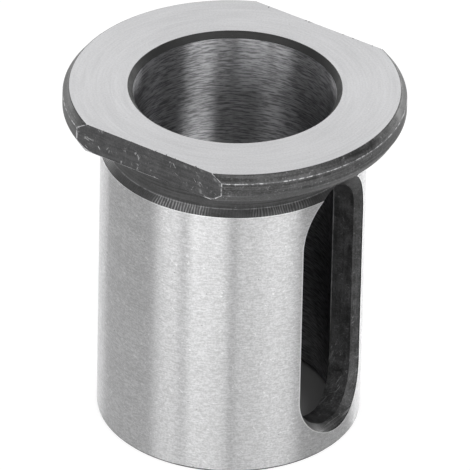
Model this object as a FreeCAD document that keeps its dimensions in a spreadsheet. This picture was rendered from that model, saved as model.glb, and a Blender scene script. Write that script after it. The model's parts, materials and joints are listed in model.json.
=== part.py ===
"""Flanged reduction sleeve, turned from one bar.

A tool with a straight shank slides into the bore, and the sleeve's own ground shank slides into
the next larger bore of a holder, up to the underside of the flange.

The frame: +Z runs up the sleeve's axis, with the origin at the centre of the foot. The slot opens
towards +X. The two flats on the flange face +Y and -Y. All sizes are in millimetres.
"""
import FreeCAD, Part
import enum
import math
import os

import Sketcher

SIZES = [
    ("TotalLength", "35", "foot to top face"),
    ("ShankDiameter", "25", "ground outside, the size that fits the holder"),
    ("BoreDiameter", "19.05", "ground inside, three quarters of an inch"),
    ("FlangeOverhang", "3.6", "how far the flange stands out past the shank"),
    ("FlangeThickness", "2.9", "top face to underside"),
    ("RimChamferReach", "0.55", "both rim chamfers, measured along the flange's faces"),
    ("RimUpperRise", "0.7", "upper rim chamfer, measured along the axis"),
    ("RimLowerRise", "0.9", "lower rim chamfer, measured along the axis"),
    ("FlatDepth", "2.3", "how much each flat takes off the rim"),
    ("MouthChamferReach", "0.48", "both bore mouths, measured along the end face"),
    ("MouthChamferDepth", "0.57", "both bore mouths, measured along the axis"),
    ("FootChamfer", "0.25", "45 degree lead at the shank's foot"),
    ("NeckLength", "3.15", "parallel part of the grinding relief under the flange"),
    ("NeckDepth", "0.6", "how far the relief lies below the shank, with a 45 degree run-out"),
    ("SlotWidth", "8.7", "between the slot's walls"),
    ("SlotTopGap", "4.25", "flange underside to the slot's upper end"),
    ("SlotFootGap", "2.4", "foot to the slot's lower end"),
    ("SlotChamferReach", "0.57", "slot's edge, measured along the shank"),
    ("SlotChamferDepth", "0.92", "slot's edge, measured into the wall"),
    ("SlotBevel", "1.5", "45 degree bevel at the slot's upper end, reach and depth alike"),
]

# Volumes and lengths smaller than these, in mm3 and mm, count as nothing.
LEAST_CUT = 1e-6
NEAR = 1e-3

EDGE_SAMPLES = 9


class Spot(enum.IntEnum):
    """The numbers that Sketcher gives to the points of a line or an arc, and to its own axes."""

    START = 1
    END = 2
    CENTRE = 3
    HORIZONTAL_AXIS = -1
    VERTICAL_AXIS = -2


ORIGIN_POINT = (Spot.HORIZONTAL_AXIS, Spot.START)

# Formulas that more than one feature uses: radii, and heights above the foot.
ZERO = "0"
SHANK = "Sizes.ShankDiameter / 2"
RIM = "Sizes.ShankDiameter / 2 + Sizes.FlangeOverhang"
TOP = "Sizes.TotalLength"
UNDERSIDE = "Sizes.TotalLength - Sizes.FlangeThickness"
SLOT_RADIUS = "Sizes.SlotWidth / 2"
SLOT_LOWER_CENTRE = f"Sizes.SlotFootGap + {SLOT_RADIUS}"
SLOT_UPPER_CENTRE = f"{UNDERSIDE} - Sizes.SlotTopGap - {SLOT_RADIUS}"


def make_sheet(doc):
    """Write every driving size into one spreadsheet, each under its own alias."""
    sheet = doc.addObject("Spreadsheet::Sheet", "Sizes")
    for row, (alias, value, meaning) in enumerate(SIZES, start=1):
        sheet.set(f"A{row}", alias)
        sheet.set(f"B{row}", value)
        sheet.set(f"C{row}", meaning)
        sheet.setAlias(f"B{row}", alias)
    doc.recompute()
    return sheet


def origin_plane(body, role):
    """Return one of the body's own origin planes, such as XY_Plane."""
    return next(item for item in body.Origin.OriginFeatures if item.Role == role)


def new_sketch(body, name, role):
    """Start a sketch on one of the body's origin planes."""
    sketch = body.newObject("Sketcher::SketchObject", name)
    sketch.AttachmentSupport = [(origin_plane(body, role), "")]
    sketch.MapMode = "FlatFace"
    return sketch


def worth(sketch, formula):
    """Work out a formula on the sheet, so that a sketch is drawn where its sizes put it."""
    return float(sketch.evalExpression(formula))


def size_from_origin(sketch, kind, point, name, formula):
    """Tie one point to the origin, along one axis, by a formula on the sheet."""
    value = worth(sketch, formula)
    index = sketch.addConstraint(Sketcher.Constraint(kind, *ORIGIN_POINT, *point, value))
    sketch.renameConstraint(index, name)
    sketch.setExpression(f"Constraints.{name}", formula)


def draw_outline(sketch, corners):
    """Draw a closed outline and tie every corner to the origin.

    Each corner is a name with the formulas for its distance out along the sketch's first axis
    and up along its second.
    """
    places = [FreeCAD.Vector(worth(sketch, out), worth(sketch, up), 0) for _, out, up in corners]
    count = len(corners)
    for index in range(count):
        sketch.addGeometry(Part.LineSegment(places[index], places[(index + 1) % count]))
    for index in range(count):
        following = (index + 1) % count
        sketch.addConstraint(
            Sketcher.Constraint("Coincident", index, Spot.END, following, Spot.START))
    for index, (name, out_formula, up_formula) in enumerate(corners):
        corner = (index, Spot.START)
        size_from_origin(sketch, "DistanceX", corner, f"{name}Out", out_formula)
        if up_formula == ZERO:
            sketch.addConstraint(
                Sketcher.Constraint("PointOnObject", *corner, Spot.HORIZONTAL_AXIS))
        else:
            size_from_origin(sketch, "DistanceY", corner, f"{name}Up", up_formula)


def add_blank(doc, body):
    """Turn the whole sleeve, bore and chamfers included, before anything is milled."""
    bore = "Sizes.BoreDiameter / 2"
    mouth = "Sizes.BoreDiameter / 2 + Sizes.MouthChamferReach"
    face = f"{RIM} - Sizes.RimChamferReach"
    corners = [
        ("BoreFoot", bore, "Sizes.MouthChamferDepth"),
        ("FootInner", mouth, ZERO),
        ("FootOuter", f"{SHANK} - Sizes.FootChamfer", ZERO),
        ("ShankFoot", SHANK, "Sizes.FootChamfer"),
        ("ShankTop", SHANK, UNDERSIDE),
        ("Underside", face, UNDERSIDE),
        ("RimLower", RIM, f"{UNDERSIDE} + Sizes.RimLowerRise"),
        ("RimUpper", RIM, f"{TOP} - Sizes.RimUpperRise"),
        ("FaceOuter", face, TOP),
        ("FaceInner", mouth, TOP),
        ("BoreTop", bore, f"{TOP} - Sizes.MouthChamferDepth"),
    ]
    sketch = new_sketch(body, "BlankProfile", "XZ_Plane")
    draw_outline(sketch, corners)
    blank = body.newObject("PartDesign::Revolution", "Blank")
    blank.Profile = sketch
    blank.ReferenceAxis = (sketch, ["V_Axis"])
    blank.Angle = 360
    doc.recompute()
    return blank


def draw_slot(sketch):
    """Draw an upright slot with round ends, centred on the sketch's second axis."""
    half = worth(sketch, SLOT_RADIUS)
    low = worth(sketch, SLOT_LOWER_CENTRE)
    high = worth(sketch, SLOT_UPPER_CENTRE)
    up = FreeCAD.Vector(0, 0, 1)
    top_circle = Part.Circle(FreeCAD.Vector(0, high, 0), up, half)
    foot_circle = Part.Circle(FreeCAD.Vector(0, low, 0), up, half)
    top_arc = sketch.addGeometry(Part.ArcOfCircle(top_circle, 0, math.pi))
    foot_arc = sketch.addGeometry(Part.ArcOfCircle(foot_circle, math.pi, 2 * math.pi))
    left = sketch.addGeometry(
        Part.LineSegment(FreeCAD.Vector(-half, high, 0), FreeCAD.Vector(-half, low, 0)))
    right = sketch.addGeometry(
        Part.LineSegment(FreeCAD.Vector(half, low, 0), FreeCAD.Vector(half, high, 0)))
    joins = [
        (top_arc, Spot.END, left, Spot.START),
        (left, Spot.END, foot_arc, Spot.START),
        (foot_arc, Spot.END, right, Spot.START),
        (right, Spot.END, top_arc, Spot.START),
    ]
    for join in joins:
        sketch.addConstraint(Sketcher.Constraint("Tangent", *join))
    for arc in (top_arc, foot_arc):
        sketch.addConstraint(
            Sketcher.Constraint("PointOnObject", arc, Spot.CENTRE, Spot.VERTICAL_AXIS))
    sketch.addConstraint(Sketcher.Constraint("Equal", top_arc, foot_arc))
    radius = sketch.addConstraint(Sketcher.Constraint("Radius", top_arc, half))
    sketch.renameConstraint(radius, "EndRadius")
    sketch.setExpression("Constraints.EndRadius", SLOT_RADIUS)
    foot_centre = (foot_arc, Spot.CENTRE)
    top_centre = (top_arc, Spot.CENTRE)
    size_from_origin(sketch, "DistanceY", foot_centre, "LowerCentre", SLOT_LOWER_CENTRE)
    size_from_origin(sketch, "DistanceY", top_centre, "UpperCentre", SLOT_UPPER_CENTRE)


def add_slot(doc, body):
    """Mill the slot through the wall on the +X side only."""
    sketch = new_sketch(body, "SlotProfile", "YZ_Plane")
    draw_slot(sketch)
    slot = body.newObject("PartDesign::Pocket", "Slot")
    slot.Profile = sketch
    slot.Type = "ThroughAll"
    slot.Reversed = True
    doc.recompute()
    return slot


def mouth_edges(shape, shank_radius, slot_width):
    """Name the edges where the slot's walls meet the outside of the shank.

    The turned faces' seams also run up the shank there, but straight up its middle line.
    """
    names = []
    for index, edge in enumerate(shape.Edges, start=1):
        points = edge.discretize(Number=EDGE_SAMPLES)
        on_shank = all(abs(math.hypot(p.x, p.y) - shank_radius) < NEAR for p in points)
        in_slot = all(p.x > 0 and abs(p.y) < slot_width / 2 + NEAR for p in points)
        on_seam = all(abs(p.y) < NEAR for p in points)
        if on_shank and in_slot and not on_seam:
            names.append(f"Edge{index}")
    return names


def add_slot_chamfer(doc, body, slot, sheet):
    """Break the slot's outer edge all the way round."""
    names = mouth_edges(slot.Shape, float(sheet.ShankDiameter) / 2, float(sheet.SlotWidth))
    chamfer = body.newObject("PartDesign::Chamfer", "SlotChamfer")
    chamfer.Base = (slot, names)
    chamfer.ChamferType = "Two distances"
    chamfer.FlipDirection = True
    chamfer.setExpression("Size", "Sizes.SlotChamferReach")
    chamfer.setExpression("Size2", "Sizes.SlotChamferDepth")
    doc.recompute()
    return chamfer


def add_neck(doc, body):
    """Turn the grinding relief under the flange, with its 45 degree run-out to the shank."""
    floor = f"{SHANK} - Sizes.NeckDepth"
    runout = f"{UNDERSIDE} - Sizes.NeckLength"
    lower = f"{runout} - Sizes.NeckDepth"
    corners = [
        ("FloorTop", floor, UNDERSIDE),
        ("FloorEnd", floor, runout),
        ("RunoutEnd", SHANK, lower),
        ("OutsideEnd", RIM, lower),
        ("OutsideTop", RIM, UNDERSIDE),
    ]
    sketch = new_sketch(body, "NeckProfile", "YZ_Plane")
    draw_outline(sketch, corners)
    neck = body.newObject("PartDesign::Groove", "Neck")
    neck.Profile = sketch
    neck.ReferenceAxis = (sketch, ["V_Axis"])
    neck.Angle = 360
    doc.recompute()
    return neck


def add_bevel(doc, body):
    """Cut the wide 45 degree bevel round the slot's upper end, into the relief's run-out.

    It is a cone about a line along +X through the centre of the slot's upper end. Its profile
    starts inside the slot and ends outside the shank, so that it cuts the edge and nothing else.
    """
    inner = f"{SHANK} - 2 * Sizes.SlotBevel"
    outer = f"{SHANK} + Sizes.SlotChamferReach"
    corners = [
        ("InnerAxis", inner, ZERO),
        ("OuterAxis", outer, ZERO),
        ("OuterEdge", outer, f"{SLOT_RADIUS} + Sizes.SlotBevel + Sizes.SlotChamferReach"),
        ("InnerEdge", inner, f"{SLOT_RADIUS} - Sizes.SlotBevel"),
    ]
    sketch = new_sketch(body, "BevelProfile", "XZ_Plane")
    sketch.setExpression(".AttachmentOffset.Base.y", SLOT_UPPER_CENTRE)
    draw_outline(sketch, corners)
    bevel = body.newObject("PartDesign::Groove", "SlotBevel")
    bevel.Profile = sketch
    bevel.ReferenceAxis = (sketch, ["H_Axis"])
    bevel.Angle = 360
    doc.recompute()
    return bevel


def add_flats(doc, body):
    """Mill one flat on the flange and mirror it to the other side."""
    flat_place = f"{RIM} - Sizes.FlatDepth"
    outside = f"{RIM} + Sizes.FlatDepth"
    sketch = new_sketch(body, "FlatProfile", "XY_Plane")
    corners = [
        ("InnerRight", RIM, flat_place),
        ("OuterRight", RIM, outside),
        ("OuterLeft", f"-({RIM})", outside),
        ("InnerLeft", f"-({RIM})", flat_place),
    ]
    draw_outline(sketch, corners)
    flat = body.newObject("PartDesign::Pocket", "Flat")
    flat.Profile = sketch
    flat.Type = "ThroughAll"
    flat.Reversed = True
    mirror = body.newObject("PartDesign::Mirrored", "OtherFlat")
    mirror.Originals = [flat]
    mirror.MirrorPlane = (origin_plane(body, "XZ_Plane"), [""])
    body.Tip = mirror
    doc.recompute()
    return mirror


def check(doc, stages):
    """Stop if anything failed, or if a cut took nothing away."""
    for item in doc.Objects:
        if "Invalid" in item.State or "Error" in item.State:
            raise RuntimeError(f"{item.Name} failed: {item.State}")
    for earlier, later in zip(stages, stages[1:]):
        if later.Shape.isNull() or not later.Shape.isValid():
            raise RuntimeError(f"{later.Name} has no valid shape")
        if earlier.Shape.Volume - later.Shape.Volume < LEAST_CUT:
            raise RuntimeError(f"{later.Name} cuts nothing from {earlier.Name}")


def build_sleeve(doc, sheet):
    """Make the sleeve's one body, in the order that its features are cut."""
    body = doc.addObject("PartDesign::Body", "Sleeve")
    body.Label = "sleeve"
    body.Placement = FreeCAD.Placement()
    blank = add_blank(doc, body)
    slot = add_slot(doc, body)
    chamfer = add_slot_chamfer(doc, body, slot, sheet)
    neck = add_neck(doc, body)
    bevel = add_bevel(doc, body)
    flats = add_flats(doc, body)
    check(doc, [blank, slot, chamfer, neck, bevel, flats])
    return body


def main():
    """Build the document and write its one body."""
    doc = FreeCAD.newDocument("ReductionSleeve")
    sheet = make_sheet(doc)
    sleeve = build_sleeve(doc, sheet)
    os.makedirs("parts", exist_ok=True)
    sleeve.Shape.exportStep(f"parts/{sleeve.Label}.step")
    box = sleeve.Shape.BoundBox
    print(f"{sleeve.Label}: {len(sleeve.Shape.Solids)} solid, {sleeve.Shape.Volume:.1f} mm3, "
          f"{box.XLength:.2f} x {box.YLength:.2f} x {box.ZLength:.2f} mm")


main()
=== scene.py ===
"""Dresses a flanged reduction sleeve of ground and blackened steel.

The sleeve is one solid, made as the real one is: its blank is turned, its flange gets two flats,
a slot is milled through its wall, and the working faces are ground bright through the black
oxide. Sizes in the classes are in millimetres, and the finished mesh is in metres.
"""
import json
import logging
import math
from dataclasses import dataclass
from enum import Enum, IntEnum
from typing import Any, Iterable, NamedTuple, Optional, Sequence, Union

import bmesh
import bpy
from bmesh.types import BMEdge, BMesh, BMVert
from mathutils import Matrix, Vector

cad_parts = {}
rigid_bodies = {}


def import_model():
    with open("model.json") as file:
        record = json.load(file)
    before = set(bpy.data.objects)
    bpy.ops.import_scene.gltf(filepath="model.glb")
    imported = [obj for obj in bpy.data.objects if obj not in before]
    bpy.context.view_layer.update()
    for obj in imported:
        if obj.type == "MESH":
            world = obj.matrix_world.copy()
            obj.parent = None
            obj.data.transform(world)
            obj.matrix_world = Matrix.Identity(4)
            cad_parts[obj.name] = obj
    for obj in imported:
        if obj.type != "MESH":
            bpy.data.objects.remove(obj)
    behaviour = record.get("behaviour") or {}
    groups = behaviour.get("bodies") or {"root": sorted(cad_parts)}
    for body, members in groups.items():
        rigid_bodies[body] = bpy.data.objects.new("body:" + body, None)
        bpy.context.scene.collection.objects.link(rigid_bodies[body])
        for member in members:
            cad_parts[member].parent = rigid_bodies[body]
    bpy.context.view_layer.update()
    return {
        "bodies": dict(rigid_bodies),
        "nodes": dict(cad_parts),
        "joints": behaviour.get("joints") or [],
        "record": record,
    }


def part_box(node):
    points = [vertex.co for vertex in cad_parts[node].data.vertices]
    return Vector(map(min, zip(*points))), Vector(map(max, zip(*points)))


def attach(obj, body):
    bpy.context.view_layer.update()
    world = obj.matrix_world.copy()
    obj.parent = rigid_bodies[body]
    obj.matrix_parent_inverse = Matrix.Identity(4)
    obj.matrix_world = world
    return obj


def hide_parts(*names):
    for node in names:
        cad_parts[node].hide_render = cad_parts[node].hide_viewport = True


MM = 0.001
LOG = logging.getLogger("sleeve")

Number = Union[float, bpy.types.NodeSocket]
Colour = tuple[float, float, float]

# Lengths in millimetres: one past anything on the sleeve, and two under which heights or radii
# count as the same, the second for radii that a facet draws in.
FAR = 100.0
SAME = 0.001
NEAR = 0.01

# Tolerances in millimetres: for the turned blank's seam, for a plane's cut, and for the points
# and the shortest edges that two closed meshes leave where they are cut.
SEAM_WELD = 1e-5
PLANE_TOLERANCE = 1e-6
CUT_WELD = 2e-4
SHORTEST_EDGE = 1e-4

# Faces that meet at more degrees than this have a crisp edge between them.
CRISP_FROM = 13.0

# The turn that lays the gloss along the axis, where 1 is all the way round.
QUARTER_TURN = 0.25

# The inputs and the output of a Mix node that mixes colours.
MIX_SHARE, MIX_FIRST, MIX_SECOND, MIX_RESULT = 0, 6, 7, 2

# Near-white for the painted highlights on ground steel: glints in dents, lines along edges, and
# scratches.
GLINT_AND_SCRATCH_WHITE: Colour = (0.96, 0.96, 0.96)
CHIP_BLACK: Colour = (0.05, 0.05, 0.05)
RUBBED_GREY: Colour = (0.24, 0.24, 0.245)
RIDGE_GREY: Colour = (0.25, 0.25, 0.255)
EDGE_BLACK: Colour = (0.003, 0.003, 0.003)


class Region(IntEnum):
    """The sleeve's surfaces, numbered as its mesh's material slots are."""

    SHANK = 0
    BORE = 1
    TOP_FACE = 2
    FOOT_FACE = 3
    FLANGE = 4
    NECK = 5
    FLAT = 6
    SLOT = 7
    MOUTH = 8
    FOOT_EDGE = 9


class Lay(Enum):
    """The way that a cutting or grinding mark runs on a turned piece."""

    ROUND_THE_SIDE = "round the side, at one height"
    ROUND_THE_END = "round an end face, at one radius"
    TURNED = "round the axis, on a side or a face alike"
    ALONG_THE_FLAT = "along a flat, at one height"
    ALONG_THE_SLOT = "along the slot's wall, at one depth"


class Sheet(Enum):
    """The two coordinates in which marks on a surface are laid out."""

    ROUND = "round the axis, and up"
    FLAT = "along X, and up"


class Point(NamedTuple):
    """A surface point's coordinates on the sleeve, in millimetres."""

    x: Number
    y: Number
    z: Number
    radius: Number


# --------------------------------------------------------------------------------------------
# Materials
# --------------------------------------------------------------------------------------------


class Graph:
    """One material's nodes, with a short call for each kind that the finishes use."""

    def __init__(self, name: str) -> None:
        """Start an empty material with a Principled shader.

        Args:
            name: The material's name.
        """
        self.material = bpy.data.materials.new(name)
        self.material.use_nodes = True
        self.tree = self.material.node_tree
        self.tree.nodes.clear()
        self.shader = self.tree.nodes.new("ShaderNodeBsdfPrincipled")
        output = self.tree.nodes.new("ShaderNodeOutputMaterial")
        self.tree.links.new(self.shader.outputs["BSDF"], output.inputs["Surface"])

    def put(self, socket: bpy.types.NodeSocket, value: Any) -> None:
        """Link a socket, or set a number or colour on it.

        Args:
            socket: The input that takes the value.
            value: Another node's output, a number or a colour.
        """
        if isinstance(value, bpy.types.NodeSocket):
            self.tree.links.new(value, socket)
        elif isinstance(value, tuple) and len(value) == 3 and len(socket.default_value) == 4:
            socket.default_value = (*value, 1.0)
        else:
            socket.default_value = value

    def math(self, operation: str, first: Number,
             second: Number = 0.0) -> bpy.types.NodeSocket:
        """Work out one step of arithmetic.

        Args:
            operation: Blender's name for the operation, such as MULTIPLY.
            first: The first number.
            second: The second number, where the operation has one.

        Returns:
            The result.
        """
        node = self.tree.nodes.new("ShaderNodeMath")
        node.operation = operation
        self.put(node.inputs[0], first)
        self.put(node.inputs[1], second)
        return node.outputs[0]

    def total(self, *terms: Number) -> bpy.types.NodeSocket:
        """Add up several numbers.

        Args:
            *terms: The numbers.

        Returns:
            Their sum.
        """
        result = terms[0]
        for term in terms[1:]:
            result = self.math("ADD", result, term)
        return result

    def point(self) -> Point:
        """Find the surface point being shaded.

        Returns:
            Its place on the sleeve.
        """
        coordinates = self.tree.nodes.new("ShaderNodeTexCoord")
        scaled = self.tree.nodes.new("ShaderNodeVectorMath")
        scaled.operation = "SCALE"
        self.put(scaled.inputs[0], coordinates.outputs["Object"])
        scaled.inputs["Scale"].default_value = 1 / MM
        parts = self.tree.nodes.new("ShaderNodeSeparateXYZ")
        self.put(parts.inputs[0], scaled.outputs[0])
        x, y, z = parts.outputs
        return Point(x, y, z, self.length(x, y))

    def length(self, first: Number, second: Number) -> bpy.types.NodeSocket:
        """Work out the long side of a right triangle.

        Args:
            first: One short side.
            second: The other.

        Returns:
            The long side.
        """
        return self.math("SQRT", self.total(self.math("MULTIPLY", first, first),
                                            self.math("MULTIPLY", second, second)))

    def laid_out(self, point: Point, sheet: Sheet) -> tuple[Number, Number]:
        """Lay a surface out flat.

        Args:
            point: A point on it.
            sheet: The two coordinates that are wanted.

        Returns:
            The point's two coordinates, in millimetres.
        """
        if sheet is Sheet.FLAT:
            return point.x, point.z
        turn = self.math("ARCTAN2", point.y, point.x)
        return self.math("MULTIPLY", turn, point.radius), point.z

    def vector(self, x: Number, y: Number, z: Number) -> bpy.types.NodeSocket:
        """Join three numbers into a vector.

        Args:
            x: The first number.
            y: The second.
            z: The third.

        Returns:
            The vector.
        """
        node = self.tree.nodes.new("ShaderNodeCombineXYZ")
        for socket, value in zip(node.inputs, (x, y, z)):
            self.put(socket, value)
        return node.outputs[0]

    def stretched(self, point: Sequence[Number],
                  counts: Sequence[float]) -> bpy.types.NodeSocket:
        """Scale each coordinate by its own count of grains to the millimetre.

        Args:
            point: The coordinates.
            counts: Grains to the millimetre along each.

        Returns:
            A vector to give to a texture.
        """
        return self.vector(*(self.math("MULTIPLY", p, c) for p, c in zip(point, counts)))

    def noise(self, vector: bpy.types.NodeSocket, detail: float = 2.0, roughness: float = 0.5,
              distortion: float = 0.0) -> bpy.types.NodeSocket:
        """Make fractal noise with one grain to the unit.

        Args:
            vector: Where it is read.
            detail: How many finer layers it has.
            roughness: How strong each finer layer is.
            distortion: How far it is bent about.

        Returns:
            A number from 0 to 1, about 0.5 on average.
        """
        node = self.tree.nodes.new("ShaderNodeTexNoise")
        node.inputs["Scale"].default_value = 1.0
        node.inputs["Detail"].default_value = detail
        node.inputs["Roughness"].default_value = roughness
        node.inputs["Distortion"].default_value = distortion
        self.put(node.inputs["Vector"], vector)
        return node.outputs[0]

    def spots(self, vector: bpy.types.NodeSocket) -> bpy.types.NodeSocket:
        """Scatter points, about one to the unit.

        Args:
            vector: Where they are looked for.

        Returns:
            The distance to the nearest.
        """
        node = self.tree.nodes.new("ShaderNodeTexVoronoi")
        node.inputs["Scale"].default_value = 1.0
        self.put(node.inputs["Vector"], vector)
        return node.outputs["Distance"]

    def fade(self, value: Number, start: float, end: float, low: float = 0.0,
             high: float = 1.0) -> bpy.types.NodeSocket:
        """Go smoothly from low to high as a value goes from start to end.

        Args:
            value: The number that decides.
            start: Where the result is still low.
            end: Where the result has become high.
            low: The result at start and before it.
            high: The result at end and past it.

        Returns:
            The result.
        """
        node = self.tree.nodes.new("ShaderNodeMapRange")
        node.interpolation_type = "SMOOTHSTEP"
        self.put(node.inputs["Value"], value)
        node.inputs["From Min"].default_value = start
        node.inputs["From Max"].default_value = end
        node.inputs["To Min"].default_value = low
        node.inputs["To Max"].default_value = high
        return node.outputs["Result"]

    def fade_straight(self, value: Number, start: float, end: float, low: float,
                      high: float) -> bpy.types.NodeSocket:
        """Go in a straight line from low to high as a value goes from start to end.

        Args:
            value: The number that decides.
            start: Where the result leaves low.
            end: Where it reaches high.
            low: The result at start and before it.
            high: The result at end and past it.

        Returns:
            The result.
        """
        result = self.fade(value, start, end, low, high)
        result.node.interpolation_type = "LINEAR"
        return result

    def blend(self, share: Number, first: Any, second: Any) -> bpy.types.NodeSocket:
        """Mix two colours.

        Args:
            share: How much of the second there is, from 0 to 1.
            first: The first colour.
            second: The second colour.

        Returns:
            The mixed colour.
        """
        node = self.tree.nodes.new("ShaderNodeMix")
        node.data_type = "RGBA"
        for socket, value in ((MIX_SHARE, share), (MIX_FIRST, first), (MIX_SECOND, second)):
            self.put(node.inputs[socket], value)
        return node.outputs[MIX_RESULT]

    def bump(self, height: bpy.types.NodeSocket, depth: float,
             below: Optional[bpy.types.NodeSocket] = None) -> bpy.types.NodeSocket:
        """Raise the surface by a height between 0 and 1.

        Args:
            height: The height.
            depth: What a height of 1 stands for, in millimetres.
            below: The normal of a relief that this one lies on.

        Returns:
            The new normal.
        """
        node = self.tree.nodes.new("ShaderNodeBump")
        node.inputs["Strength"].default_value = 1.0
        node.inputs["Distance"].default_value = depth * MM
        self.put(node.inputs["Height"], height)
        if below is not None:
            self.put(node.inputs["Normal"], below)
        return node.outputs[0]

    def lengthwise_gloss(self, amount: float) -> None:
        """Spread the gloss across marks that run round the sleeve's axis.

        Args:
            amount: How much wider the gloss is across the marks than along them, from 0 to 1.
        """
        tangent = self.tree.nodes.new("ShaderNodeTangent")
        tangent.direction_type = "RADIAL"
        tangent.axis = "Z"
        self.put(self.shader.inputs["Tangent"], tangent.outputs[0])
        self.shader.inputs["Anisotropic"].default_value = amount
        self.shader.inputs["Anisotropic Rotation"].default_value = QUARTER_TURN


@dataclass(frozen=True)
class Ring:
    """A turned edge, which runs round the sleeve's axis.

    Args:
        radius: The edge's distance from the axis.
        height: Its height above the foot.
    """

    radius: float
    height: float

    def distance(self, graph: Graph, point: Point) -> Number:
        """Work out how far a point is from the edge.

        Args:
            graph: The material's nodes.
            point: A surface point.

        Returns:
            The distance, in millimetres.
        """
        return graph.length(graph.math("SUBTRACT", point.radius, self.radius),
                            graph.math("SUBTRACT", point.z, self.height))


@dataclass(frozen=True)
class Barrel:
    """An edge that keeps at one distance from the axis, at any height.

    Args:
        radius: That distance.
    """

    radius: float

    def distance(self, graph: Graph, point: Point) -> Number:
        """Work out how far a point is from the edge.

        Args:
            graph: The material's nodes.
            point: A surface point.

        Returns:
            The distance, in millimetres.
        """
        return graph.math("ABSOLUTE", graph.math("SUBTRACT", point.radius, self.radius))


@dataclass(frozen=True)
class SlotMouth:
    """The edge where the slot's chamfer and its upper bevel meet the shank.

    Args:
        half: Half of the chamfered slot's width.
        low: The height of the middle of its lower end.
        high: The height of the middle of its upper end.
        cone: The bevel's radius, measured at the shank's outermost point.
        shank_radius: The shank's radius.
    """

    half: float
    low: float
    high: float
    cone: float
    shank_radius: float

    def distance(self, graph: Graph, point: Point) -> Number:
        """Work out how far a point is from the edge, on the slot's side of the shank.

        Args:
            graph: The material's nodes.
            point: A surface point.

        Returns:
            The distance, in millimetres.
        """
        level = graph.math("MINIMUM", graph.math("MAXIMUM", point.z, self.low), self.high)
        sides = graph.math("SUBTRACT",
                           graph.length(point.y, graph.math("SUBTRACT", point.z, level)),
                           self.half)
        fall = graph.math("SUBTRACT", self.shank_radius, point.x)
        bevel = graph.total(graph.length(point.y, graph.math("SUBTRACT", point.z, self.high)),
                            fall, -self.cone)
        outline = graph.math("ABSOLUTE", graph.math("MINIMUM", sides, bevel))
        behind = graph.math("MULTIPLY", graph.math("LESS_THAN", point.x, 0.0), FAR)
        return graph.math("ADD", outline, behind)


@dataclass(frozen=True)
class FlatOutline:
    """The two ends of a flat milled on the flange's rim, with their lower corners rounded.

    Args:
        place: The flat's distance from the axis.
        rim: The flange's radius.
        reach: How far the rim's chamfers reach in along its faces.
        lower: The heights where the lower chamfer starts and ends.
        upper: The heights where the upper chamfer starts and ends.
        corner: The radius of the rounded corners.
        run: How far from each end the outline starts to fade and is gone.
    """

    place: float
    rim: float
    reach: float
    lower: tuple[float, float]
    upper: tuple[float, float]
    corner: float = 0.7
    run: tuple[float, float] = (0.9, 1.8)

    def distance(self, graph: Graph, point: Point) -> Number:
        """Work out how far a point on the flat is from the outline.

        Args:
            graph: The material's nodes.
            point: A surface point.

        Returns:
            The distance, in millimetres.
        """
        cut_in = graph.total(graph.fade_straight(point.z, *self.upper, 0.0, self.reach),
                             graph.fade_straight(point.z, *self.lower, self.reach, 0.0))
        turned = graph.math("SUBTRACT", self.rim, cut_in)
        squared = graph.math("SUBTRACT", graph.math("MULTIPLY", turned, turned), self.place ** 2)
        from_end = graph.math("SUBTRACT", graph.math("SQRT", squared),
                              graph.math("ABSOLUTE", point.x))
        from_foot = graph.math("SUBTRACT", point.z, self.lower[0])
        short_end = graph.math("MAXIMUM", graph.math("SUBTRACT", self.corner, from_end), 0.0)
        short_foot = graph.math("MAXIMUM", graph.math("SUBTRACT", self.corner, from_foot), 0.0)
        inside = graph.math("SUBTRACT", self.corner, graph.length(short_end, short_foot))
        outline = graph.math("ABSOLUTE", inside)
        return graph.math("ADD", outline, graph.fade(from_end, *self.run, 0.0, FAR))


@dataclass(frozen=True)
class FlatRow:
    """A straight edge at one height along a flat, as far as a given place on it.

    Args:
        height: The edge's height.
        until: Where it stops, along X.
    """

    height: float
    until: float = FAR

    def distance(self, graph: Graph, point: Point) -> Number:
        """Work out how far a point is from the edge.

        Args:
            graph: The material's nodes.
            point: A surface point.

        Returns:
            The distance, in millimetres.
        """
        above = graph.math("ABSOLUTE", graph.math("SUBTRACT", point.z, self.height))
        past = graph.fade(point.x, self.until - 1.0, self.until, 0.0, 1.0)
        return graph.math("ADD", above, past)


@dataclass(frozen=True)
class EdgeWearAndGlint:
    """A line along an edge: on a black finish, where handling has rubbed the steel bare; on ground
    steel, a painted highlight, whose strength the wear and bareness below stand for.

    Args:
        edge: The edge.
        width: How far the wear reaches from it.
        share: How much of its length is well worn, from 0 to 1.
        strength: How bare the steel is there, on ground steel how strong the painted highlight is,
            from 0 to 1.
        faint: How bare it is between the well worn lengths.
        between: The heights where the wear starts and is full, if it fades along the edge.
    """

    edge: Union[Ring, Barrel, SlotMouth, FlatOutline, FlatRow]
    width: float
    share: float
    strength: float = 1.0
    faint: float = 0.0
    between: Optional[tuple[float, float]] = None

    def line(self, graph: Graph, point: Point, patches: Number) -> bpy.types.NodeSocket:
        """Return how bare the steel is, on ground steel how strong the painted highlight is, from
        0 to 1.

        Args:
            graph: The material's nodes.
            point: A surface point.
            patches: The noise that breaks the line up.

        Returns:
            The share of bare steel, on ground steel of painted highlight.
        """
        # The noise keeps between about 0.32 and 0.66, so that is what a share is a share of.
        low = 0.66 - 0.34 * self.share
        broken = graph.fade(patches, low, low + 0.14, self.faint, self.strength)
        near = graph.fade(self.edge.distance(graph, point), self.width, self.width * 0.3)
        shown = graph.math("MULTIPLY", near, broken)
        if self.between is None:
            return shown
        return graph.math("MULTIPLY", shown, graph.fade(point.z, *self.between))


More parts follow.
